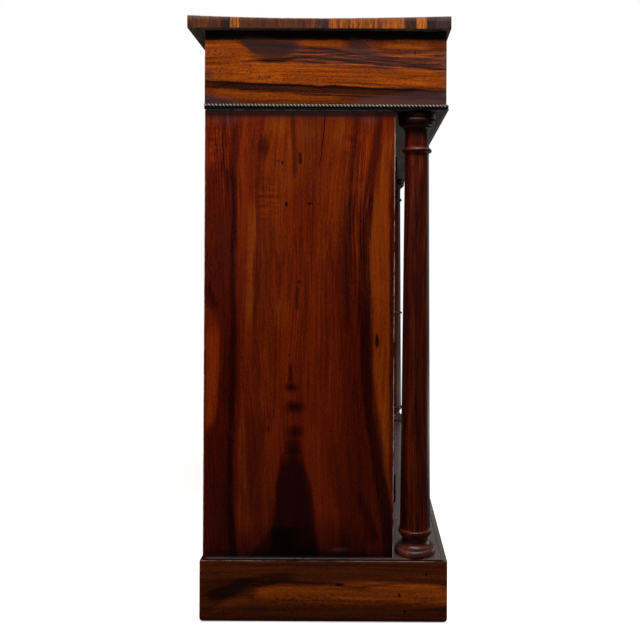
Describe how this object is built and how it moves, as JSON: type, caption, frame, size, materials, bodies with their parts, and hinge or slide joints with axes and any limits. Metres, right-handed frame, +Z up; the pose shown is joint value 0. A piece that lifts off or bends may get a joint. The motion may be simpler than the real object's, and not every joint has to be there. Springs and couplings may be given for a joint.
{
  "type": "chiffonier",
  "caption": "Small side cabinet with frieze drawers over panelled doors, free-standing turned columns at the front corners, rope-twist moulding and a hollow plinth.",
  "frame": {"origin": "centre of the bounding box in plan, at the floor under the plinth", "axes": "+Z up, +X along the front towards the right-hand door, the front faces -Y"},
  "size_m": [1.004, 0.415, 0.915],
  "materials": {
    "polished_veneer": "figured rosewood veneer, French-polished and worn",
    "top_veneer": "crossbanded veneer with a bright worn arris",
    "door_panel_veneer": "figured rosewood veneer, French-polished",
    "column_wood": "turned wood, stained dark red-brown and polished",
    "ebonised_wood": "carved wood, black-brown, rubbed bright on the beads",
    "mahogany": "plain planed wood, dry",
    "pine": "rough-planed softwood, darkened by age",
    "brass": "dull old brass",
    "lock_steel": "dull old steel"
  },
  "bodies": {
    "carcase": {"plinth_front": "polished_veneer", "plinth_end_left": "polished_veneer", "plinth_end_right": "polished_veneer", "plinth_back": "pine", "platform": "mahogany", "side_panel_left": "polished_veneer", "side_panel_right": "polished_veneer", "front_stile_left": "polished_veneer", "front_stile_right": "polished_veneer", "back_panel": "pine", "shelf": "mahogany", "frieze_bottom_rail": "polished_veneer", "dustboard": "mahogany", "frieze_end_left": "polished_veneer", "frieze_end_right": "polished_veneer", "frieze_divider": "polished_veneer", "frieze_top_rail": "polished_veneer", "rope_moulding": "ebonised_wood", "top_board": "top_veneer", "column_left_base": "column_wood", "column_left_shaft": "column_wood", "column_right_base": "column_wood", "column_right_shaft": "column_wood", "hinge_left_lower_fixed": "brass", "hinge_left_upper_fixed": "brass", "hinge_right_lower_fixed": "brass", "hinge_right_upper_fixed": "brass"},
    "door_left": {"door_left_hinge_stile": "polished_veneer", "door_left_meeting_stile": "polished_veneer", "door_left_bottom_rail": "polished_veneer", "door_left_top_rail": "polished_veneer", "door_left_panel": "door_panel_veneer", "hinge_left_lower_moving": "brass", "hinge_left_upper_moving": "brass", "door_bolt_plate_top": "brass", "door_bolt_plate_bottom": "brass"},
    "door_right": {"door_right_hinge_stile": "polished_veneer", "door_right_meeting_stile": "polished_veneer", "door_right_bottom_rail": "polished_veneer", "door_right_top_rail": "polished_veneer", "door_right_panel": "door_panel_veneer", "hinge_right_lower_moving": "brass", "hinge_right_upper_moving": "brass", "lock_case": "lock_steel"},
    "lock_bolt": {"lock_bolt": "lock_steel"},
    "key": {"key": "lock_steel"},
    "door_bolt_top": {"door_bolt_top": "brass"},
    "door_bolt_bottom": {"door_bolt_bottom": "brass"},
    "drawer_left": {"drawer_left_front": "polished_veneer", "drawer_left_left_side": "mahogany", "drawer_left_right_side": "mahogany", "drawer_left_back": "mahogany", "drawer_left_bottom": "pine", "drawer_left_knob": "column_wood"},
    "drawer_right": {"drawer_right_front": "polished_veneer", "drawer_right_left_side": "mahogany", "drawer_right_right_side": "mahogany", "drawer_right_back": "mahogany", "drawer_right_bottom": "pine", "drawer_right_knob": "column_wood"}
  },
  "joints": [
    {"name": "door_left_swing", "type": "hinge", "parent": "carcase", "child": "door_left", "pos_m": [-0.417, -0.1108, 0.4345], "axis": [0, 0, -1], "range_deg": [0, 100]},
    {"name": "door_right_swing", "type": "hinge", "parent": "carcase", "child": "door_right", "pos_m": [0.417, -0.1108, 0.4345], "axis": [0, 0, 1], "range_deg": [0, 100]},
    {"name": "drawer_left_slide", "type": "slide", "parent": "carcase", "child": "drawer_left", "axis": [0, -1, 0], "range_m": [0, 0.24]},
    {"name": "drawer_right_slide", "type": "slide", "parent": "carcase", "child": "drawer_right", "axis": [0, -1, 0], "range_m": [0, 0.24]},
    {"name": "key_turn", "type": "hinge", "parent": "door_right", "child": "key", "pos_m": [0.032, -0.12, 0.429], "axis": [0, -1, 0], "range_deg": [0, 180]},
    {"name": "lock_bolt_slide", "type": "slide", "parent": "door_right", "child": "lock_bolt", "axis": [-1, 0, 0], "range_m": [0, 0.01]},
    {"name": "top_bolt_slide", "type": "slide", "parent": "door_left", "child": "door_bolt_top", "axis": [0, 0, 1], "range_m": [0, 0.012]},
    {"name": "bottom_bolt_slide", "type": "slide", "parent": "door_left", "child": "door_bolt_bottom", "axis": [0, 0, -1], "range_m": [0, 0.012]}
  ],
  "couplings": [
    {"joint": "key_turn", "follows": "lock_bolt_slide", "rad_per_m": 314.16}
  ]
}
